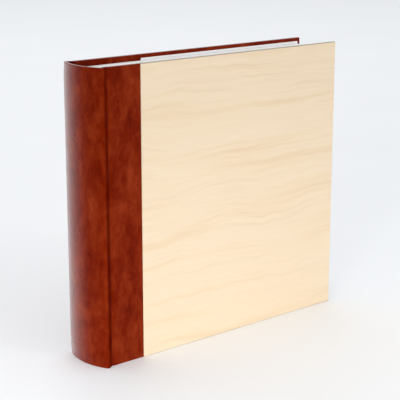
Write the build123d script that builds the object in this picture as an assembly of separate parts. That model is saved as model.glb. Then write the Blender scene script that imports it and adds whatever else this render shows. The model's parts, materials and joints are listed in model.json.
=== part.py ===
"""Wedding guest book: a square album that stands upright, quarter-bound in leather over a hollow
rounded spine, with a wooden panel on the front cover and card leaves hung on linen hinges.

Millimetres. +Z is up, the front cover faces -Y, the spine is at -X and the fore edge at +X.
The model is drawn from the front joint line, then moved so that its origin is the centre of the
footprint.
"""
import math
import os

from build123d import *

# ---- Leaves ----------------------------------------------------------------------------------
leaf_height = 300.0        # one card leaf, head to tail
leaf_width = 300.0         # one card leaf, from its linen hinge to the fore edge
card_thickness = 0.7
card_gap = 0.1             # air between neighbouring leaves of one group
leaf_pairs = 2             # leaves glued to each face of a group's linen
groups_per_side = 6        # groups that turn with each cover; one more stays in the middle
group_gap = 0.4            # air between neighbouring groups
linen_thickness = 0.4
turn_line = 9.0            # turning lines of the leaf groups, from the joint line
linen_neck = 11.0          # bare linen between the turning line and the leaves
linen_tongue = 12.0        # linen glued between the two middle leaves
flyleaf_thickness = 0.35
flyleaf_back = 0.6         # from the leaf groups' turning lines back to the flyleaves'

# ---- Covers ----------------------------------------------------------------------------------
square = 6.5               # how far the covers stand past the leaves
front_board_thickness = 2.5
back_board_thickness = 3.0
wood_thickness = 2.0
leather_thickness = 1.2
leather_strip = 43.0       # leather on the front cover, from the joint line to the wood
strip_to_wood = 0.2        # butt joint between the leather and the wood
turn_in = 15.0             # leather folded over on to the inner face
pared_thickness = 0.4      # leather of the turn-ins, and the card that fills in between them
lining_thickness = 0.4     # pastedown and inner joint leather
inner_joint_width = 88.0   # leather on the inner face, from the joint line
pastedown_margin = 4.0     # turn-in that stays in sight around the pastedown
board_start = 3.5          # spine-side edge of both boards, from the joint line
wood_chamfer = 0.4
leather_edge_flat = 0.2    # leather left flat inside its rounded edges
corner_radius = 2.0        # back cover's two fore-edge corners

# ---- Spine -----------------------------------------------------------------------------------
spine_bulge = 15.0         # from the joint line to the crown of the spine's arc
ridge_radius = 3.2         # round ridge beside each joint
ridge_centre = 4.6         # from the joint line to the middle of a ridge
ridge_proud = 2.0          # how far a ridge stands past its cover
groove_depth = 2.2         # joint groove, from the cover's leather
ridge_gap = 0.4            # from a ridge to the cover leather in its joint groove
spine_lining_thickness = 1.5
lining_margin = 5.25       # from the crest of a ridge to the lining's edge
flap_thickness = 0.6       # spine leather turned in over the lining's head and tail
tube_wall = 0.5
tube_margin = 2.15         # from the outermost leaf group to the hollow tube's edge

# ---- Sewing and lining of the leaf block -------------------------------------------------------
block_back = -2.9          # spine edge of the leaf block, from the joint line
guard_gap = 0.3
tape_count = 4
tape_width = 12.0
tape_thickness = 0.35
thread_diameter = 0.35
stitch_reach = 2.0         # a stitch goes this far past each edge of its tape
mull_thickness = 0.35
headband_radius = 1.6

# ---- Clearances --------------------------------------------------------------------------------
turning_gap = 0.3          # between pieces that turn past each other
glue_line = 0.05           # between curved layers that are glued together

# ---- What follows from the sizes above ----------------------------------------------------------
cover_height = leaf_height + 2 * square
leaf_start = turn_line + linen_neck
leaf_end = leaf_start + leaf_width
cover_end = leaf_end + square

half_linen = linen_thickness / 2 + glue_line
stack_half = half_linen + leaf_pairs * card_thickness + (leaf_pairs - 1) * card_gap
group_pitch = 2 * stack_half + group_gap
group_count = 2 * groups_per_side + 1
block_half = groups_per_side * group_pitch + stack_half
flyleaf_y = block_half + turning_gap + flyleaf_thickness / 2
flyleaf_x = turn_line - flyleaf_back             # its own turning line, clear of the first linen
cover_inner = flyleaf_y + flyleaf_thickness / 2 + turning_gap

FRONT, BACK = -1, 1
board_thickness = {FRONT: front_board_thickness, BACK: back_board_thickness}
board_inner = lining_thickness + pared_thickness    # depths below are counted from a cover's inner face
board_outer = {side: board_inner + board_thickness[side] for side in (FRONT, BACK)}
leather_outer = {side: board_outer[side] + leather_thickness for side in (FRONT, BACK)}
cover_outer = {FRONT: board_outer[FRONT] + wood_thickness, BACK: leather_outer[BACK]}

ridge_crest = {side: cover_inner + cover_outer[side] + ridge_proud for side in (FRONT, BACK)}
spine_mid = (ridge_crest[BACK] - ridge_crest[FRONT]) / 2
spine_half = (ridge_crest[BACK] + ridge_crest[FRONT]) / 2
ridge_y = spine_half - ridge_radius                 # from the spine's middle to a ridge's middle
arc_depth = spine_bulge - ridge_centre              # from the ridges' middle to the arc's crown
# the arc is tangent to both ridges from inside
arc_radius = (arc_depth**2 + ridge_y**2 - ridge_radius**2) / (2 * (arc_depth - ridge_radius))
arc_x = arc_radius - spine_bulge
spine_lining_half = spine_half - lining_margin
tube_half = block_half - tube_margin
groove_start = ridge_radius + ridge_gap - ridge_centre
leather_edge_radius = leather_thickness - leather_edge_flat

guard_end = turn_line - linen_thickness / 2 - turning_gap
tape_back = block_back - tape_thickness
thread_back = tape_back - thread_diameter
mull_front = thread_back - glue_line
mull_back = mull_front - mull_thickness
tube_front = mull_back - glue_line
lining_inset = leather_thickness + glue_line
flap_inset = lining_inset + spine_lining_thickness + glue_line
tube_inset = lining_inset + spine_lining_thickness + glue_line

footprint_x = (cover_end - spine_bulge) / 2
footprint_y = spine_mid


def box(x0, x1, y0, y1, z0, z1):
    """A block between two corners."""
    return Pos((x0 + x1) / 2, (y0 + y1) / 2, (z0 + z1) / 2) * Box(
        abs(x1 - x0), abs(y1 - y0), abs(z1 - z0)
    )


def plate(side, x0, x1, d0, d1, z0, z1):
    """A block in a cover: d0 and d1 are depths from the cover's inner face, outward."""
    return box(x0, x1, side * (cover_inner + d0), side * (cover_inner + d1), z0, z1)


def upright(face, z0, z1):
    """A plan drawn in XY, pulled up from z0 to z1."""
    return Pos(0, 0, z0) * extrude(face, z1 - z0)


def strip_plan(x0, x1, half):
    """A rectangle in plan about the spine's middle line."""
    return Pos((x0 + x1) / 2, spine_mid) * Rectangle(x1 - x0, 2 * half)


def arc_plan(inset):
    """Plan of what lies within the spine's arc, left of the ridges' middles, drawn in by inset."""
    reach = 2 * arc_radius / math.hypot(arc_x + ridge_centre, ridge_y)
    far_x = arc_x - reach * (arc_x + ridge_centre)
    far_y = reach * ridge_y
    corners = [(arc_x, spine_mid), (far_x, spine_mid + far_y), (far_x, spine_mid - far_y)]
    sector = make_face(Polyline(*corners, close=True))
    left_of_ridges = strip_plan(-2 * arc_radius, -ridge_centre, 2 * spine_half)
    return (Pos(arc_x, spine_mid) * Circle(arc_radius - inset)) & sector & left_of_ridges


def skin_plan(inset):
    """Plan of all that lies within the spine's skin, arc and ridges, drawn in by inset."""
    front = Pos(-ridge_centre, spine_mid - ridge_y) * Circle(ridge_radius - inset)
    back = Pos(-ridge_centre, spine_mid + ridge_y) * Circle(ridge_radius - inset)
    return arc_plan(inset) + front + back


def spine_layer(outer_inset, inner_inset, half):
    """Plan of a curved layer of the spine, between two insets and within half of the middle."""
    window = strip_plan(-2 * spine_bulge, -ridge_centre, half)
    return (arc_plan(outer_inset) - arc_plan(inner_inset)) & window


def make_spine_leather():
    """Leather over the spine and both ridges, turned in over the lining at head and tail."""
    skin = skin_plan(0) - skin_plan(leather_thickness)
    # the ridges stop where the joint grooves of the covers begin
    groove = {side: cover_inner + leather_outer[side] - groove_depth for side in (FRONT, BACK)}
    opening = Pos(0, (groove[BACK] - groove[FRONT]) / 2) * Rectangle(
        2 * ridge_centre, groove[BACK] + groove[FRONT]
    )
    leather = upright(skin - opening, 0, cover_height)
    cap = spine_layer(leather_thickness / 2, flap_inset + flap_thickness, spine_lining_half)
    flap = spine_layer(flap_inset, flap_inset + flap_thickness, spine_lining_half)
    leather += upright(cap, cover_height - leather_thickness, cover_height)
    leather += upright(cap, 0, leather_thickness)
    leather += upright(flap, cover_height - turn_in, cover_height)
    leather += upright(flap, 0, turn_in)
    return leather


def make_spine_lining():
    """Stiff curved card that shapes the spine."""
    plan = spine_layer(lining_inset, lining_inset + spine_lining_thickness, spine_lining_half)
    end = leather_thickness + glue_line
    return upright(plan, end, cover_height - end)


def make_hollow_tube():
    """Paper tube between the leaf block and the lining; it opens when the book does."""
    window = strip_plan(-2 * spine_bulge, tube_front, tube_half)
    hollow = strip_plan(-2 * spine_bulge, tube_front - tube_wall, tube_half - tube_wall)
    tube = (arc_plan(tube_inset) & window) - (arc_plan(tube_inset + tube_wall) & hollow)
    return upright(tube, turn_in + glue_line, cover_height - turn_in - glue_line)


def make_mull():
    """Open cloth glued over the sewing."""
    return box(mull_back, mull_front, -block_half, block_half, turn_in, cover_height - turn_in)


def tape_heights():
    """Middle heights of the sewing tapes."""
    step = leaf_height / (tape_count + 1)
    return [square + step * (i + 1) for i in range(tape_count)]


def group_places():
    """Middle lines of the leaf groups, front to back."""
    return [(i - groups_per_side) * group_pitch for i in range(group_count)]


def make_tapes():
    """Cloth tapes across the back of the block."""
    half = tape_width / 2
    return [
        box(tape_back, block_back, -block_half, block_half, z - half, z + half)
        for z in tape_heights()
    ]


def make_thread():
    """One linen stitch over each tape for each leaf group."""
    length = tape_width + 2 * stitch_reach
    x = tape_back - thread_diameter / 2
    return [
        Pos(x, y, z) * Cylinder(thread_diameter / 2, length)
        for z in tape_heights()
        for y in group_places()
    ]


def make_guards():
    """Folded card guards, one for each leaf group, that the linen hinges are sewn into."""
    half = (group_pitch - guard_gap) / 2
    top = square + leaf_height
    return [box(block_back, guard_end, y - half, y + half, square, top) for y in group_places()]


def make_headband(z):
    """Worked silk band across the end of the block's back."""
    x = block_back + headband_radius
    return Pos(x, 0, z) * Rot(90, 0, 0) * Cylinder(headband_radius, 2 * block_half)


def make_leaves(y):
    """One group's card leaves, half of them on each face of its linen."""
    leaves = []
    for face in (FRONT, BACK):
        for i in range(leaf_pairs):
            near = half_linen + i * (card_thickness + card_gap)
            y0 = y + face * near
            y1 = y + face * (near + card_thickness)
            leaves.append(box(leaf_start, leaf_end, y0, y1, square, square + leaf_height))
    return leaves


def hinged_sheet(x, y, end, thickness):
    """Plan of a flat sheet with a round edge on its turning line."""
    body = Pos((x + end) / 2, y) * Rectangle(end - x, thickness)
    return body + Pos(x, y) * Circle(thickness / 2)


def make_linen(y):
    """One group's linen hinge."""
    plan = hinged_sheet(turn_line, y, leaf_start + linen_tongue, linen_thickness)
    return upright(plan, square, square + leaf_height)


def make_flyleaf(side):
    """Loose half of an endpaper."""
    plan = hinged_sheet(flyleaf_x, side * flyleaf_y, leaf_end, flyleaf_thickness)
    return upright(plan, square, square + leaf_height)


def joint_leather(side):
    """Cover leather from the bottom of the joint groove up to the board's shoulder."""
    shoulder = board_start - leather_thickness
    bottom = leather_outer[side] - groove_depth
    strip = plate(side, groove_start, board_start, bottom - leather_thickness, bottom, 0, cover_height)
    wall = plate(side, shoulder, board_start, bottom, board_outer[side], 0, cover_height)
    return strip + wall


def make_front_leather():
    """Leather strip of the front cover, turned in over the board at head and tail."""
    shoulder = board_start - leather_thickness
    outer = leather_outer[FRONT]
    face = plate(FRONT, shoulder, leather_strip, board_outer[FRONT], outer, 0, cover_height)
    leather = face + joint_leather(FRONT)
    ends = ((0, leather_thickness, turn_in), (cover_height, -leather_thickness, -turn_in))
    for z, edge, fold in ends:
        wrap = plate(FRONT, board_start, leather_strip, lining_thickness, outer, z, z + edge)
        turned = plate(FRONT, board_start, leather_strip, lining_thickness, board_inner, z, z + fold)
        leather = leather + wrap + turned
    rounded = leather.edges().filter_by(Axis.X).filter_by(
        lambda e: e.length > leather_strip / 2
        and abs(e.center().Y + cover_inner + outer) < 0.01
    )
    return fillet(rounded, leather_edge_radius)


def make_front_board():
    """Front board, cut back at head and tail where the leather wraps it."""
    d0, d1 = board_inner, board_outer[FRONT]
    narrow = plate(
        FRONT, board_start, leather_strip, d0, d1, leather_thickness, cover_height - leather_thickness
    )
    return narrow + plate(FRONT, leather_strip, cover_end, d0, d1, 0, cover_height)


def make_front_wood():
    """Wooden panel glued to the rest of the front board."""
    x0 = leather_strip + strip_to_wood
    panel = plate(FRONT, x0, cover_end, board_outer[FRONT], cover_outer[FRONT], 0, cover_height)
    return chamfer(panel.faces().sort_by(Axis.Y)[0].edges(), wood_chamfer)


def make_front_infill():
    """Card on the front board's inner face, cut out round the turn-ins."""
    d0, d1 = lining_thickness, board_inner
    narrow = plate(FRONT, board_start, leather_strip, d0, d1, turn_in, cover_height - turn_in)
    return narrow + plate(FRONT, leather_strip, cover_end, d0, d1, 0, cover_height)


def make_back_leather():
    """Leather of the whole back cover, turned in over the board on three sides."""
    shoulder = board_start - leather_thickness
    outer, board = leather_outer[BACK], board_outer[BACK]
    edge = leather_thickness
    case = plate(BACK, shoulder, cover_end, lining_thickness, outer, 0, cover_height)
    corners = case.edges().filter_by(Axis.Y).group_by(Axis.X)[-1]
    case = fillet(corners, corner_radius)
    case = fillet(case.faces().sort_by(Axis.Y)[-1].edges(), leather_edge_radius)
    case -= plate(BACK, board_start, cover_end - edge, board_inner, board, edge, cover_height - edge)
    case -= plate(
        BACK, 0, cover_end - turn_in, 0, board_inner, turn_in, cover_height - turn_in
    )
    # the spine-side edge is open: the leather comes up there from the joint
    case -= plate(BACK, 0, board_start, 0, outer - groove_depth, 0, cover_height)
    return case + joint_leather(BACK)


def make_back_board():
    """Back board."""
    edge = leather_thickness
    return plate(
        BACK, board_start, cover_end - edge, board_inner, board_outer[BACK], edge, cover_height - edge
    )


def make_back_infill():
    """Card on the back board's inner face, between the turn-ins."""
    return plate(
        BACK, board_start, cover_end - turn_in, lining_thickness, board_inner,
        turn_in, cover_height - turn_in
    )


def make_inner_joint(side):
    """Leather on the spine side of a cover's inner face."""
    top = cover_height - pastedown_margin
    return plate(side, board_start, inner_joint_width, 0, lining_thickness, pastedown_margin, top)


def make_pastedown(side):
    """Endpaper pasted to a cover's inner face."""
    top = cover_height - pastedown_margin
    end = cover_end - pastedown_margin
    return plate(side, inner_joint_width, end, 0, lining_thickness, pastedown_margin, top)


def save(name, shape):
    """Writes one sub-part; a list is written as a group of separate solids."""
    if isinstance(shape, list):
        shape = Compound(children=[s.solid() for s in shape])
    export_step(Pos(-footprint_x, -footprint_y, 0) * shape, f"parts/{name}.step")


os.makedirs("parts", exist_ok=True)

save("spine_leather", make_spine_leather())
save("spine_lining", make_spine_lining())
save("hollow_tube", make_hollow_tube())
save("mull_cloth", make_mull())
save("sewing_tapes", make_tapes())
save("sewing_thread", make_thread())
save("spine_guards", make_guards())
save("headband", make_headband(square + leaf_height + headband_radius + glue_line))
save("tailband", make_headband(square - headband_radius - glue_line))

save("front_board", make_front_board())
save("front_wood_panel", make_front_wood())
save("front_leather", make_front_leather())
save("front_infill", make_front_infill())
save("back_board", make_back_board())
save("back_leather", make_back_leather())
save("back_infill", make_back_infill())
for side_name, side in (("front", FRONT), ("back", BACK)):
    save(f"{side_name}_inner_joint", make_inner_joint(side))
    save(f"{side_name}_pastedown", make_pastedown(side))
    save(f"{side_name}_flyleaf", make_flyleaf(side))

for number, place in enumerate(group_places(), start=1):
    save(f"leaves_{number:02d}", make_leaves(place))
    save(f"leaf_linen_{number:02d}", make_linen(place))
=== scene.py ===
# %% [markdown]
# A wedding guest book is a hand-bound album. Its looks come from four things: polished leather that
# runs in one skin over the spine and the back cover, a pale veneered panel on the front, thick white
# leaves, and the way light rolls over the ridges beside the joints.
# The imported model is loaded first. It gives every size and place that this lesson needs.

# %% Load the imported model
import json
import math
import random

import bmesh
import bpy
from mathutils import Matrix, Vector


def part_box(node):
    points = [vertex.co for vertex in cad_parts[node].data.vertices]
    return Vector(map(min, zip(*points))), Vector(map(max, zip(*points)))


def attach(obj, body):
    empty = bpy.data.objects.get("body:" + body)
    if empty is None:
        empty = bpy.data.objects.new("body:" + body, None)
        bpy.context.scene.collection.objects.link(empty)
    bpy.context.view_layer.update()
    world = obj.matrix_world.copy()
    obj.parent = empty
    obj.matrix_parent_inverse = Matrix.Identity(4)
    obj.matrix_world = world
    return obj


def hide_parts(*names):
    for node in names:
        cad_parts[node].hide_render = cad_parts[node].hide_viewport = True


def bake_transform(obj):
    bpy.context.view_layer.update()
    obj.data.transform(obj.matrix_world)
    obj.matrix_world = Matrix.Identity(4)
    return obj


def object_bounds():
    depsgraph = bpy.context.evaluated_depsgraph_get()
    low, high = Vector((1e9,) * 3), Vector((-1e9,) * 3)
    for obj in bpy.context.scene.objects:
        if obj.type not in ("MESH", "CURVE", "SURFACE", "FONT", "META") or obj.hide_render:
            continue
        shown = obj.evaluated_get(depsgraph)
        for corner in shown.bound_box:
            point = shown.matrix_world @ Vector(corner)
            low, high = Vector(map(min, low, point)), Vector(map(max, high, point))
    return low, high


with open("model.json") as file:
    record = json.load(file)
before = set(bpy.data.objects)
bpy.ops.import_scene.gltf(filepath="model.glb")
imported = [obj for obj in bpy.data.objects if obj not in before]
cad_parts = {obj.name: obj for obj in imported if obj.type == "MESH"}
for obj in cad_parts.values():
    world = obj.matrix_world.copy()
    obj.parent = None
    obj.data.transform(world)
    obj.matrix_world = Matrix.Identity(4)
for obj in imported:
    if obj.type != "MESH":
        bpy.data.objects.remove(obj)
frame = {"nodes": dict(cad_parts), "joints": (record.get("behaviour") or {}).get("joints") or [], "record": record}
cad_low, cad_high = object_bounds()

# %% [markdown]
# Landmarks are read from the model, so that a change of size there moves everything here. The sides
# are called FRONT and BACK: the front cover faces -Y, and the book's thickness runs along Y.

# %% Landmarks
MM = 0.001
FRONT, BACK = -1, 1
spine_low, spine_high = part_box("spine_leather")
strip_low, strip_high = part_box("front_leather")
case_low, case_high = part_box("back_leather")
board_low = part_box("front_board")[0]
wood_low, wood_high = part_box("front_wood_panel")

hinge = {j["name"]: Vector(j["pos_m"]) for j in frame["joints"]}
joint_x = hinge["front_cover_hinge"].x
head = cad_high.z
crown_x = spine_low.x
middle_y = (spine_low.y + spine_high.y) / 2
board_x = board_low.x
fore_x = case_high.x

crest_y = {FRONT: spine_low.y, BACK: spine_high.y}
face_y = {FRONT: strip_low.y, BACK: case_high.y}
turned_y = {FRONT: strip_high.y, BACK: case_low.y}
strip_end = {FRONT: strip_high.x, BACK: fore_x}
print("book", [round(v / MM, 1) for v in cad_high - cad_low], "mm")

# %% [markdown]
# A few helpers keep the cells short. A piece is made from a bmesh, gets one material, and rides on a
# body of the model.
# Faces square to the book are shaded flat and all others smooth: then a rounded edge looks round,
# and it doesn't bend the shading of the board beside it. Only the faces that look straight out of
# the spine are smooth too, since they belong to its arc. An edge that turns by more than the crease
# angle stays sharp.

# %% Helpers for pieces
SQUARE = 0.99999
CREASE = math.radians(40)


def piece(name, bm, material, body=None):
    """Makes an object of a bmesh, with outward faces."""
    bmesh.ops.recalc_face_normals(bm, faces=bm.faces)
    for face in bm.faces:
        across, along, up = face.normal
        face.smooth = max(across, abs(along), abs(up)) < SQUARE
    for edge in bm.edges:
        edge.smooth = edge.calc_face_angle(0) < CREASE
    mesh = bpy.data.meshes.new(name)
    bm.to_mesh(mesh)
    bm.free()
    mesh.materials.append(material)
    made = bpy.data.objects.new(name, mesh)
    bpy.context.scene.collection.objects.link(made)
    if body:
        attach(made, body)
    return made


def block(bm, low, high):
    """Adds a block between two corners and returns its vertices."""
    size = Vector(high) - Vector(low)
    place = Matrix.Translation((Vector(high) + Vector(low)) / 2) @ Matrix.Diagonal((*size, 1))
    return bmesh.ops.create_cube(bm, size=1, matrix=place)["verts"]


def upright(bm, plan, z0, z1):
    """Pulls a closed plan up from z0 to z1; returns the bottom and the top face."""
    ring = [bm.verts.new((x, y, z0)) for x, y in plan]
    bottom = bm.faces.new(ring)
    top = bmesh.ops.extrude_face_region(bm, geom=[bottom], use_keep_orig=True)["geom"]
    raised = [g for g in top if isinstance(g, bmesh.types.BMVert)]
    bmesh.ops.translate(bm, vec=(0, 0, z1 - z0), verts=raised)
    return bottom, next(g for g in top if isinstance(g, bmesh.types.BMFace))


def cut_levels(bm, point, normal, distances):
    """Cuts every face by planes at the given distances along the normal."""
    for distance in distances:
        geom = bm.verts[:] + bm.edges[:] + bm.faces[:]
        place = Vector(point) + Vector(normal) * distance
        bmesh.ops.bisect_plane(bm, geom=geom, plane_co=place, plane_no=normal)


# %% [markdown]
# Materials are built from nodes. These helpers add a node, link its inputs and set its values, so
# that each finish reads as a short list of what it is made of. Object coordinates are metres on
# the book itself, which makes a scale of 100 a pattern about a centimetre wide.

# %% Helpers for materials


class Finish:
    """One material: a Principled shader, and a pattern in metres on the book."""

    def __init__(self, name, roughness, specular=0.5):
        self.material = bpy.data.materials.new(name)
        self.material.use_nodes = True
        self.tree = self.material.node_tree
        self.shader = self.tree.nodes["Principled BSDF"]
        self.shader.inputs["Roughness"].default_value = roughness
        self.shader.inputs["Specular IOR Level"].default_value = specular
        self.place = self.tree.nodes.new("ShaderNodeTexCoord").outputs["Object"]

    def node(self, kind, values=None, **settings):
        made = self.tree.nodes.new(kind)
        for key, value in settings.items():
            setattr(made, key, value)
        for key, value in (values or {}).items():
            if isinstance(value, bpy.types.NodeSocket):
                self.tree.links.new(value, made.inputs[key])
            else:
                made.inputs[key].default_value = value
        return made

    def stretched(self, scale, turn=(0, 0, 0), shift=(0, 0, 0)):
        """Coordinates scaled along each axis, for a grain that runs one way."""
        values = {"Vector": self.place, "Scale": scale, "Rotation": turn, "Location": shift}
        return self.node("ShaderNodeMapping", values).outputs["Vector"]

    def noise(self, scale, detail=3, rough=0.5, vector=None, distortion=0.0):
        values = {"Vector": vector or self.place, "Scale": scale, "Detail": detail,
                  "Roughness": rough, "Distortion": distortion}
        return self.node("ShaderNodeTexNoise", values).outputs["Fac"]

    def ramp(self, fac, stops):
        """Colours or grey levels along a pattern."""
        made = self.node("ShaderNodeValToRGB", {"Fac": fac})
        points = made.color_ramp.elements
        while len(points) < len(stops):
            points.new(0.5)
        for point, (at, colour) in zip(points, stops):
            point.position = at
            grey = isinstance(colour, (int, float))
            point.color = (colour, colour, colour, 1) if grey else (*colour, 1)
        return made.outputs["Color"]

    def mix(self, fac, a, b, blend="MIX"):
        made = self.node("ShaderNodeMix", data_type="RGBA", blend_type=blend)
        for key, value in ((0, fac), (6, a), (7, b)):
            if isinstance(value, bpy.types.NodeSocket):
                self.tree.links.new(value, made.inputs[key])
            elif key == 0:
                made.inputs[key].default_value = value
            else:
                made.inputs[key].default_value = (*value, 1)
        return made.outputs[2]

    def maths(self, operation, a, b=0.0):
        return self.node("ShaderNodeMath", {0: a, 1: b}, operation=operation).outputs[0]

    def remap(self, value, low, high, first, last):
        """Turns the range from low to high into first to last, and holds it outside."""
        values = {"Value": value, 1: low, 2: high, 3: first, 4: last}
        return self.node("ShaderNodeMapRange", values).outputs[0]

    def split(self):
        """The three coordinates apart."""
        return self.node("ShaderNodeSeparateXYZ", {"Vector": self.place}).outputs

    def colour(self, value):
        if isinstance(value, bpy.types.NodeSocket):
            self.tree.links.new(value, self.shader.inputs["Base Color"])
        else:
            self.shader.inputs["Base Color"].default_value = (*value, 1)

    def rough(self, value):
        self.tree.links.new(value, self.shader.inputs["Roughness"])

    def bump(self, *layers):
        """Relief: each layer is a pattern, its depth in metres and its strength."""
        normal = None
        for height, distance, strength in layers:
            values = {"Height": height, "Distance": distance, "Strength": strength}
            if normal:
                values["Normal"] = normal
            normal = self.node("ShaderNodeBump", values).outputs["Normal"]
        self.tree.links.new(normal, self.shader.inputs["Normal"])


# %% [markdown]
# The leather is glazed calf: a red-brown dye that took unevenly, in soft upright clouds, under a
# polished finish. Two noise patterns drive the dye. The relief has three layers: slow waves in the
# hide, a fine pebble grain, and pores. The dye tints what the polish mirrors straight on; at a
# grazing angle the reflection is as pale as the room, and a coat of wax strengthens it. In the
# joint grooves the colour is darkened with painted shade, and the polishing cloth doesn't reach,
# so they are duller too. Hands wear the polish off the rim at the head.

# %% Leather
GROOVE_LINE = joint_x - 1.0 * MM


def make_leather():
    f = Finish("glazed_red_brown_leather", 0.3, 0.5)
    clouds = f.noise(1.0, 4, 0.62, f.stretched((42, 42, 22)), 0.5)
    patches = f.noise(1.0, 5, 0.68, f.stretched((130, 130, 80), shift=(3, 1, 7)), 0.4)
    dye = f.mix(0.40, clouds, patches)
    base = f.ramp(dye, [
        (0.32, (0.085, 0.0040, 0.0005)),
        (0.46, (0.145, 0.0090, 0.0011)),
        (0.56, (0.195, 0.0190, 0.0034)),
        (0.72, (0.265, 0.0360, 0.0090)),
    ])
    place = f.split()
    away = f.maths("ABSOLUTE", f.maths("SUBTRACT", place["X"], GROOVE_LINE))
    # Painted shade in the joint groove: this mask pulls the colour towards a near-black red; the same mask also
    # makes the leather duller there.
    groove_shade_and_dulling = f.remap(away, 2.6 * MM, 4.4 * MM, 1.0, 0.0)
    f.colour(f.mix(f.maths("MULTIPLY", groove_shade_and_dulling, 0.55), base, (0.070, 0.0012, 0.0001)))
    rim = f.remap(place["Z"], head - 1.5 * MM, head - 0.4 * MM, 0.0, 0.6)
    worn = f.maths("MAXIMUM", groove_shade_and_dulling, rim)
    polish = f.ramp(f.noise(60, 4, 0.6), [(0.3, 0.24), (0.7, 0.36)])
    f.rough(f.mix(f.maths("MULTIPLY", groove_shade_and_dulling, 0.9), polish, (0.8, 0.8, 0.8)))
    waves = f.noise(45, 2, 0.5)
    cells = f.node("ShaderNodeTexVoronoi", {"Vector": f.place, "Scale": 1300.0}, feature="SMOOTH_F1")
    pores = f.ramp(f.noise(2600, 1), [(0.30, 0.0), (0.42, 1.0)])
    f.bump((waves, 0.0010, 0.25), (cells.outputs["Distance"], 0.00005, 0.25), (pores, 0.00003, 0.1))
    f.shader.inputs["Specular Tint"].default_value = (0.80, 0.10, 0.015, 1)
    grazing = f.node("ShaderNodeLayerWeight", {"Blend": 0.5}).outputs["Facing"]
    gloss = f.remap(grazing, 0.35, 0.80, 0.10, 1.0)
    shiny = f.maths("SUBTRACT", 1.0, worn)
    f.tree.links.new(f.maths("MULTIPLY", gloss, shiny), f.shader.inputs["Specular IOR Level"])
    wax = f.remap(grazing, 0.30, 0.75, 0.0, 0.9)
    f.tree.links.new(f.maths("MULTIPLY", wax, shiny), f.shader.inputs["Coat Weight"])
    f.shader.inputs["Coat Roughness"].default_value = 0.2
    return f.material


leather = make_leather()
print("made", leather.name)

# %% [markdown]
# The front panel is a pale veneer, cut flat. Its growth lines run from the joint to the fore edge
# and rise a little, in slow waves: a noise pattern that is long in X and short in Z, bent by a
# second, slower one. Fine fibres lie over them. The cut edges at the head, tail and fore edge, with
# a thin strip of the face beside them, are darker: partly end grain and the glue of the core, partly
# painted shade.

# %% Wood
EDGE = 0.45 * MM
RISE = math.radians(-4)
DRIFT = 0.035


def make_wood():
    f = Finish("pale_maple_veneer", 0.42, 0.35)
    turn = (0, RISE, 0)
    waves = {0: f.noise(9, 2, 0.5), 1: (0, 0, DRIFT)}
    drift = f.node("ShaderNodeVectorMath", waves, operation="MULTIPLY").outputs[0]
    bent = f.node("ShaderNodeVectorMath", {0: f.place, 1: drift}, operation="ADD").outputs[0]
    lines = {"Vector": bent, "Scale": (3.2, 1, 60), "Rotation": turn}
    bands = f.noise(1.0, 2, 0.55, f.node("ShaderNodeMapping", lines).outputs[0])
    streaks = {"Vector": bent, "Scale": (4.5, 1, 170), "Rotation": turn}
    growth = f.noise(1.0, 3, 0.6, f.node("ShaderNodeMapping", streaks).outputs[0])
    fibre = f.noise(1.0, 4, 0.65, f.stretched((26, 1, 700), turn))
    tone = f.ramp(bands, [
        (0.34, (0.755, 0.585, 0.392)),
        (0.46, (0.785, 0.631, 0.445)),
        (0.58, (0.790, 0.640, 0.466)),
        (0.68, (0.775, 0.603, 0.427)),
    ])
    grown = f.mix(f.ramp(growth, [(0.30, 0.35), (0.44, 0.0), (1.0, 0.0)]), tone, (0.670, 0.478, 0.290))
    pale = f.mix(f.ramp(growth, [(0.55, 0.0), (0.72, 0.4)]), grown, (0.830, 0.694, 0.530))
    veneer = f.mix(f.ramp(fibre, [(0.35, 0.22), (0.60, 0.0)]), pale, (0.695, 0.527, 0.348))
    place = f.split()
    # Dark band EDGE wide at the head, tail and fore edge, on the cut faces and a thin strip of the front: partly
    # end grain and core colour, partly painted shade.
    head_edge = f.maths("GREATER_THAN", place["Z"], wood_high.z - EDGE)
    tail_edge = f.maths("LESS_THAN", place["Z"], wood_low.z + EDGE)
    fore_edge = f.maths("GREATER_THAN", place["X"], wood_high.x - EDGE)
    edges = f.maths("MAXIMUM", f.maths("MAXIMUM", head_edge, tail_edge), fore_edge)
    f.colour(f.mix(f.maths("MULTIPLY", edges, 0.8), veneer, (0.30, 0.235, 0.165)))
    f.rough(f.ramp(fibre, [(0.3, 0.50), (0.7, 0.38)]))
    f.bump((fibre, 0.00006, 0.2))
    return f.material


wood = make_wood()
print("made", wood.name)

# %% [markdown]
# Paper is never pure white: it has a faint cloud from the pulp and short fibres. Board is the same
# idea with larger, darker specks: grey in the covers, dark red for the guards behind the leaves, so
# that the head of the spine looks like one piece with the leather. All are quite matt.

# %% Papers and boards


def make_paper(name, tint, shade, cloud=0.25):
    f = Finish(name, 0.86, 0.25)
    pulp = f.noise(140, 4, 0.6)
    fibres = f.noise(1.0, 3, 0.6, f.stretched((1500, 1500, 420)))
    base = f.mix(f.maths("MULTIPLY", pulp, cloud), tint, shade)
    f.colour(base)
    f.bump((fibres, 0.00004, 0.25), (pulp, 0.0001, 0.1))
    return f.material


card_paper = make_paper("white_leaf_card", (0.90, 0.885, 0.865), (0.80, 0.78, 0.75))
end_paper = make_paper("white_endpaper", (0.90, 0.89, 0.88), (0.80, 0.785, 0.77), 0.35)
kraft_paper = make_paper("brown_kraft", (0.44, 0.31, 0.19), (0.30, 0.20, 0.12), 0.8)


def make_board(name, tint, specked):
    f = Finish(name, 0.9, 0.2)
    specks = f.ramp(f.noise(900, 3, 0.7), [(0.42, 0.0), (0.62, 1.0)])
    f.colour(f.mix(specks, tint, specked))
    f.bump((f.noise(700, 3), 0.0001, 0.4))
    return f.material


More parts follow.
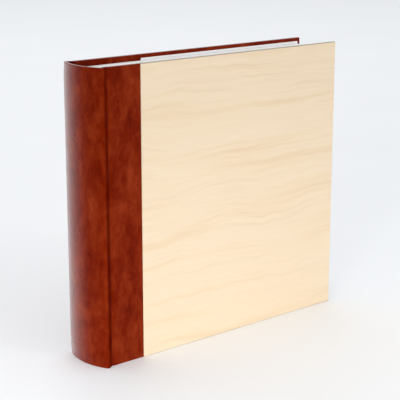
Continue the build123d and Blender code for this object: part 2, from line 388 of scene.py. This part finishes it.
greyboard = make_board("greyboard", (0.46, 0.42, 0.36), (0.30, 0.27, 0.235))
guard_card = make_board("dark_red_card", (0.115, 0.014, 0.006), (0.060, 0.007, 0.003))
print("made", card_paper.name, end_paper.name, kraft_paper.name, greyboard.name, guard_card.name)

# %% [markdown]
# Cloth is two sets of threads, so its weave is two wave patterns at right angles: where both are
# high a thread lies on top. The linen hinges, the tapes and the mull lie in upright planes, so the
# threads run along Z and along the other two axes together.

# %% Cloth and thread
STRIPE = 4.2 * MM
STRAND = 0.42 * MM


def make_cloth(name, tint, shade, threads):
    f = Finish(name, 0.85, 0.2)
    place = f.split()
    across = f.maths("ADD", place["X"], place["Y"])
    turns = threads * 2 * math.pi
    warp = f.maths("SINE", f.maths("MULTIPLY", across, turns))
    weft = f.maths("SINE", f.maths("MULTIPLY", place["Z"], turns))
    weave = f.maths("MULTIPLY_ADD", warp, weft)
    slub = f.noise(500, 3)
    f.colour(f.mix(f.ramp(f.maths("MULTIPLY_ADD", weave, 0.5), [(0.0, 0.9), (1.0, 0.1)]), tint, shade))
    f.rough(f.ramp(slub, [(0.3, 0.75), (0.7, 0.95)]))
    f.bump((weave, 0.00008, 0.5), (slub, 0.00008, 0.3))
    f.shader.inputs["Sheen Weight"].default_value = 0.25
    return f.material


linen = make_cloth("unbleached_linen", (0.78, 0.74, 0.66), (0.58, 0.53, 0.44), 1600)
thread = make_cloth("waxed_thread", (0.80, 0.76, 0.66), (0.62, 0.56, 0.45), 2500)


def make_silk():
    """Two colours of silk, worked in turns round the headband's core."""
    f = Finish("striped_headband_silk", 0.45, 0.5)
    along = f.split()["Y"]
    stripes = f.maths("SINE", f.maths("MULTIPLY", along, 2 * math.pi / STRIPE))
    strands = f.maths("SINE", f.maths("MULTIPLY", along, 2 * math.pi / STRAND))
    cream = f.ramp(stripes, [(0.76, 0.0), (0.82, 1.0)])
    f.colour(f.mix(cream, (0.26, 0.022, 0.008), (0.72, 0.60, 0.42)))
    f.bump((strands, 0.0001, 0.5))
    f.shader.inputs["Sheen Weight"].default_value = 0.4
    return f.material


silk = make_silk()
print("made", linen.name, thread.name, silk.name)

# %% [markdown]
# The nodes of the model whose plain shape is already right stay as they are, and only take a
# finish: boards, cards that fill the covers, linings, guards, tapes and the wooden panel.

# %% Finishes for the pieces that stay
stay = {
    wood: ["front_wood_panel"],
    greyboard: ["front_board", "back_board", "front_infill", "back_infill", "spine_lining"],
    guard_card: ["spine_guards"],
    end_paper: ["front_pastedown", "back_pastedown", "front_flyleaf", "back_flyleaf"],
    kraft_paper: ["hollow_tube"],
    linen: ["mull_cloth", "sewing_tapes"] + [n for n in frame["nodes"] if n.startswith("leaf_linen")],
    thread: ["sewing_thread"],
}
for material, names in stay.items():
    for name in names:
        mesh = frame["nodes"][name].data
        mesh.materials.clear()
        mesh.materials.append(material)
print("finished", sum(len(names) for names in stay.values()), "nodes of the model")

# %% [markdown]
# The leather is one skin: it starts at the wooden panel, dips into the joint groove, rolls over the
# ridge, crosses the spine in a shallow arc, and does the same on the other side to cover the whole
# back. It is made here as an upright prism with a drawn plan. Its seam lies on the spine's middle
# line, where both halves are level.
# First comes a helper for the plan: a path with rounded corners.

# %% A path with rounded corners
STEP = 0.35 * MM             # between points on a corner


def arc_points(centre, radius, start, end, count):
    """Points along an arc, both ends included."""
    turns = [start + (end - start) * i / count for i in range(count + 1)]
    return [Vector((centre[0] + radius * math.cos(t), centre[1] + radius * math.sin(t))) for t in turns]


def rounded_path(points, radii):
    """A path through the points whose inner corners are arcs of the given radii."""
    path = [Vector(points[0])]
    for before, corner, after, radius in zip(points, points[1:], points[2:], radii):
        corner = Vector(corner)
        a = (Vector(before) - corner).normalized()
        b = (Vector(after) - corner).normalized()
        half = a.angle(b) / 2
        along = radius / math.tan(half)
        centre = corner + (a + b).normalized() * (radius / math.sin(half))
        first = corner + a * along - centre
        last = corner + b * along - centre
        sweep = first.angle_signed(last)
        count = max(3, round(abs(sweep) * radius / STEP))
        for i in range(count + 1):
            turn = Matrix.Rotation(-sweep * i / count, 2)
            path.append(centre + turn @ first)
    path.append(Vector(points[-1]))
    return path


# %% [markdown]
# The plan of one half. The arc of the spine is tangent to the round ridge from inside, so its
# radius follows from the crown, the ridge and the width of the book. The ridge's flank then falls
# into the groove, and the leather climbs the board's shoulder to the cover's face.

# %% Plan of the leather
RIDGE_RADIUS = 3.2 * MM
RIDGE_MIDDLE = 4.6 * MM      # from the joint line
FLANK = math.radians(58)     # the ridge's flank leans by this much
GROOVE_DEPTH = 0.9 * MM
SPINE_WALL = 3.2 * MM        # leather, lining and the leather turned in
JOINT_WALL = 3.4 * MM        # from the cover's face to the leather's inner side
INNER_SHARE = 0.94           # how far the inner arc reaches towards the ridge
ARC_STEPS, RIDGE_STEPS, INNER_STEPS, JOINT_STEPS = 60, 26, 30, 16
ridge_x = joint_x - RIDGE_MIDDLE


def leather_plan(side):
    """Closed plan of half the leather, from the spine's middle to the end of the leather."""
    ridge_y = crest_y[side] - side * RIDGE_RADIUS
    half = abs(ridge_y - middle_y)
    depth = ridge_x - crown_x
    radius = (depth ** 2 + half ** 2 - RIDGE_RADIUS ** 2) / (2 * (depth - RIDGE_RADIUS))
    centre = (crown_x + radius, middle_y)
    lean = math.atan2(half, centre[0] - ridge_x)
    crown = math.pi
    outer = arc_points(centre, radius, crown, crown - side * lean, ARC_STEPS)
    flank = FLANK if side == BACK else 2 * math.pi - FLANK
    ridge = arc_points((ridge_x, ridge_y), RIDGE_RADIUS, crown - side * lean, flank, RIDGE_STEPS)
    outer += ridge[1:]
    groove_y = face_y[side] - side * GROOVE_DEPTH
    start = outer.pop()
    fall = abs(start.y - groove_y) * math.tan(FLANK)
    outer += rounded_path([
        start,
        (start.x + fall, groove_y),
        (board_x - 0.5 * MM, groove_y),
        (board_x + 2.6 * MM, face_y[side]),
        (strip_end[side], face_y[side]),
    ], [1.1 * MM, 0.9 * MM, 5 * MM])
    under_y = face_y[side] - side * JOINT_WALL
    inner = [
        Vector((strip_end[side], turned_y[side])),
        Vector((board_x, turned_y[side])),
        Vector((board_x, under_y)),
    ]
    span = ridge_x + 1.6 * MM - board_x
    inner += [Vector((board_x + span * i / JOINT_STEPS, under_y)) for i in range(1, JOINT_STEPS + 1)]
    reach = lean * INNER_SHARE
    inner += arc_points(centre, radius - SPINE_WALL, crown - side * reach, crown, INNER_STEPS)
    return outer + inner


for side in (FRONT, BACK):
    print("plan points", len(leather_plan(side)))

# %% [markdown]
# The prism is pulled up to the book's height. Its rims are rounded, because leather folded over a
# board has no sharp edge. Then the head and the tail of the spine are drawn in a little, as the
# binder does with thread or a folding stick, and cuts at a few heights make room for that.

# %% Leather skins
RIM = 1.1 * MM
PINCH = 0.9 * MM
PINCH_REACH = 9 * MM
NEAR_RIM = [2 * MM, 4 * MM, 7 * MM, 11 * MM, 16 * MM, 22 * MM, 60 * MM]


def pinch(bm):
    """Draws the spine in towards the leaves near its head and tail."""
    for v in bm.verts:
        share = min(1.0, max(0.0, (ridge_x - v.co.x) / (2 * MM)))
        near = min(v.co.z, head - v.co.z)
        v.co.x += PINCH * share * math.exp(-((near / PINCH_REACH) ** 2))


def on_seam(edge):
    return all(abs(v.co.y - middle_y) < 1e-7 for v in edge.verts)


def make_skin(name, side):
    bm = bmesh.new()
    bottom, top = upright(bm, leather_plan(side), 0, head)
    rims = list(bottom.edges) + list(top.edges)
    seam = [e for e in rims if on_seam(e)]
    far = [e for e in bm.edges if side == BACK and min(v.co.x for v in e.verts) > fore_x - 1e-6]
    edges = list((set(rims) | set(far)) - set(seam))
    bmesh.ops.bevel(bm, geom=edges, offset=RIM, offset_type="OFFSET", affect="EDGES", segments=4,
                    profile=0.5, material=-1, clamp_overlap=True)
    cut_levels(bm, (0, 0, 0), (0, 0, 1), NEAR_RIM + [head / 2] + [head - z for z in NEAR_RIM])
    pinch(bm)
    made = piece(name, bm, leather)
    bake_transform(made)
    return made


front_skin = make_skin("front_leather_skin", FRONT)
back_skin = make_skin("back_leather_skin", BACK)
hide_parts("front_leather", "spine_leather")
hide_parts("back_leather")
print("skins", len(front_skin.data.polygons), len(back_skin.data.polygons), "faces")

# %% [markdown]
# Inside each cover, a second piece of leather runs from the cover's inner face over the joint to
# the side of the leaf block. It is what holds the block in its case, and it is cut across along the joint.

# %% Inner joints
BEND_CUTS = 14


def make_inner_joint(name, side, node):
    low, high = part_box(node)
    y_out, y_in = (low.y, high.y) if side == FRONT else (high.y, low.y)
    block_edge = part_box("spine_guards")[0].x
    bm = bmesh.new()
    block(bm, (block_edge, min(y_out, y_in), low.z), (high.x, max(y_out, y_in), high.z))
    span = board_x + 1 * MM - block_edge
    cuts = [span * i / BEND_CUTS for i in range(1, BEND_CUTS + 1)]
    cut_levels(bm, (block_edge, 0, 0), (1, 0, 0), cuts)
    made = piece(name, bm, leather)
    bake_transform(made)
    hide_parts(node)
    return made


for side, word in ((FRONT, "front"), (BACK, "back")):
    node = word + "_inner_joint"
    made = make_inner_joint(node + "_skin", side, node)
    print(made.name, len(made.data.polygons), "faces")

# %% [markdown]
# The leaves are thick card. Each is cut by guillotine with its neighbours, yet they never line up
# perfectly: heights and widths differ by a hair, and each leaf bows slightly. That small disorder is
# what makes the edge of a real book block look like paper instead of a solid slab.

# %% Leaves
LEAVES_PER_GROUP = 4
CARD = 0.7 * MM
CARD_GAP = 0.1 * MM
HALF_LINEN = 0.25 * MM
EASED = 0.08 * MM
JITTER = 0.22 * MM
BOW = 0.10 * MM
draw = random.Random(41)


def make_leaf(bm, low, high):
    """One leaf with eased edges, a hair smaller at random."""
    grown = [draw.uniform(-JITTER, 0) for _ in range(3)]
    verts = block(bm, (low.x, low.y, low.z - grown[0]), (high.x + grown[1], high.y, high.z + grown[2]))
    edges = list({e for v in verts for e in v.link_edges})
    bmesh.ops.bevel(bm, geom=edges, offset=EASED, affect="EDGES", segments=1,
                    profile=0.5, material=-1)


def make_leaf_group(number, node, body):
    low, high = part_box(node)
    middle = (low.y + high.y) / 2
    bm = bmesh.new()
    for face in (FRONT, BACK):
        for i in range(LEAVES_PER_GROUP // 2):
            near = HALF_LINEN + i * (CARD + CARD_GAP)
            y0, y1 = sorted((middle + face * near, middle + face * (near + CARD)))
            make_leaf(bm, Vector((low.x, y0, low.z)), Vector((high.x, y1, high.z)))
    width = high.x - low.x
    cut_levels(bm, (low.x, 0, 0), (1, 0, 0), [width * i / 10 for i in range(1, 10)])
    phase, size = draw.uniform(0, 2 * math.pi), draw.uniform(0.4, 1.0)
    for v in bm.verts:
        share = (v.co.x - low.x) / width
        v.co.y += BOW * size * share * math.sin(phase + 2.6 * share)
    made = piece(f"leaf_cards_{number:02d}", bm, card_paper, body)
    for polygon in made.data.polygons:
        polygon.use_smooth = False
    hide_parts(node)
    return made


node_body = {n: b for b, nodes in frame["record"]["behaviour"]["bodies"].items() for n in nodes}
leaf_nodes = sorted(n for n in frame["nodes"] if n.startswith("leaves_"))
for number, node in enumerate(leaf_nodes, start=1):
    made = make_leaf_group(number, node, node_body[node])
print("leaf groups", len(leaf_nodes), "leaves", LEAVES_PER_GROUP * len(leaf_nodes))

# %% [markdown]
# A headband is a core wrapped in silk, worked over the end of the block. The wrapping shows as
# close ribs, so the cylinder's rings are made thick and thin in turn.

# %% Headbands
TURNS = 60
THIN = 0.88


def make_headband(name, node):
    low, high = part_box(node)
    centre, radius = (low + high) / 2, (high.z - low.z) / 2
    length = high.y - low.y
    ring_width = length / (2 * TURNS)
    bm = bmesh.new()
    place = Matrix.Translation(centre) @ Matrix.Rotation(math.radians(90), 4, "X")
    bmesh.ops.create_cone(bm, cap_ends=True, segments=16, radius1=radius, radius2=radius,
                          depth=length, matrix=place)
    cut_levels(bm, (0, low.y, 0), (0, 1, 0), [ring_width * i for i in range(1, 2 * TURNS)])
    for v in bm.verts:
        ring = round((v.co.y - low.y) / ring_width)
        thin = THIN if ring % 2 == 0 else 1.0
        v.co.x = centre.x + (v.co.x - centre.x) * thin
        v.co.z = centre.z + (v.co.z - centre.z) * thin
    made = piece(name, bm, silk, "spine")
    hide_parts(node)
    return made


for name, node in (("silk_headband", "headband"), ("silk_tailband", "tailband")):
    made = make_headband(name, node)
    print(made.name, len(made.data.polygons), "faces")

# %% [markdown]
# The stage is a plain pale floor under soft studio light: a bright room all round, which is what
# the polished leather mirrors, a wide key from the front left, and two low fills that brighten the
# foot of the book, one on the front cover and one on the spine.

# %% Stage and lights


def make_floor():
    f = Finish("pale_floor", 0.55, 0.3)
    f.colour(f.ramp(f.noise(3, 2), [(0.3, (0.90, 0.905, 0.91)), (0.7, (0.915, 0.92, 0.925))]))
    bm = bmesh.new()
    bmesh.ops.create_grid(bm, x_segments=1, y_segments=1, size=6)
    mesh = bpy.data.meshes.new("floor")
    bm.to_mesh(mesh)
    bm.free()
    mesh.materials.append(f.material)
    made = bpy.data.objects.new("floor", mesh)
    bpy.context.scene.collection.objects.link(made)


def make_light(name, place, target, size, power, spread=180):
    data = bpy.data.lights.new(name, "AREA")
    data.shape = "DISK"
    data.size = size
    data.energy = power
    data.spread = math.radians(spread)
    made = bpy.data.objects.new(name, data)
    bpy.context.scene.collection.objects.link(made)
    made.location = place
    made.visible_camera = False
    made.rotation_euler = (Vector(target) - Vector(place)).to_track_quat("-Z", "Y").to_euler()


make_floor()
aim = (0, 0, head / 2)
make_light("key", (-1.7, -1.5, 0.7), aim, 1.4, 3.5)
make_light("low_fill", (0.45, -1.8, 0.55), (0, 0, -0.08), 0.5, 0.6, spread=46)
make_light("spine_fill", (-1.6, -1.0, 0.35), (-0.16, 0, -0.12), 0.4, 0.55, spread=30)
make_light("top", (0.2, 1.2, 2.4), aim, 1.8, 6)
make_light("backdrop", (1.6, 2.4, 2.6), (1.6, 2.4, 0), 2.5, 11)

world = bpy.data.worlds.new("pale_room")
world.use_nodes = True
world.node_tree.nodes["Background"].inputs["Color"].default_value = (0.955, 0.975, 1.0, 1)
world.node_tree.nodes["Background"].inputs["Strength"].default_value = 0.85
bpy.context.scene.world = world
bpy.context.scene.view_settings.view_transform = "Standard"

# %% [markdown]
# The camera stands to the left of the book and a little above it, far away with a long lens, so
# that the upright edges stay almost parallel. Its place is given in heights of the book from the
# foot of the front joint, which keeps the framing when the book changes size.

# %% Camera
camera_data = bpy.data.cameras.new("studio_camera")
camera_data.lens = 109.2
camera_data.sensor_width = 36
camera_data.clip_start = 0.01
camera = bpy.data.objects.new("studio_camera", camera_data)
bpy.context.scene.collection.objects.link(camera)
foot = Vector((joint_x, wood_low.y, 0))
camera.location = foot + head * Vector((-2.240, -3.057, 1.526))
yaw, pitch = math.radians(40.68), math.radians(14.16)
ahead = Vector((math.sin(yaw) * math.cos(pitch), math.cos(yaw) * math.cos(pitch), -math.sin(pitch)))
camera.rotation_euler = ahead.to_track_quat("-Z", "Y").to_euler()
bpy.context.scene.camera = camera
print("camera", [round(v, 3) for v in camera.location])
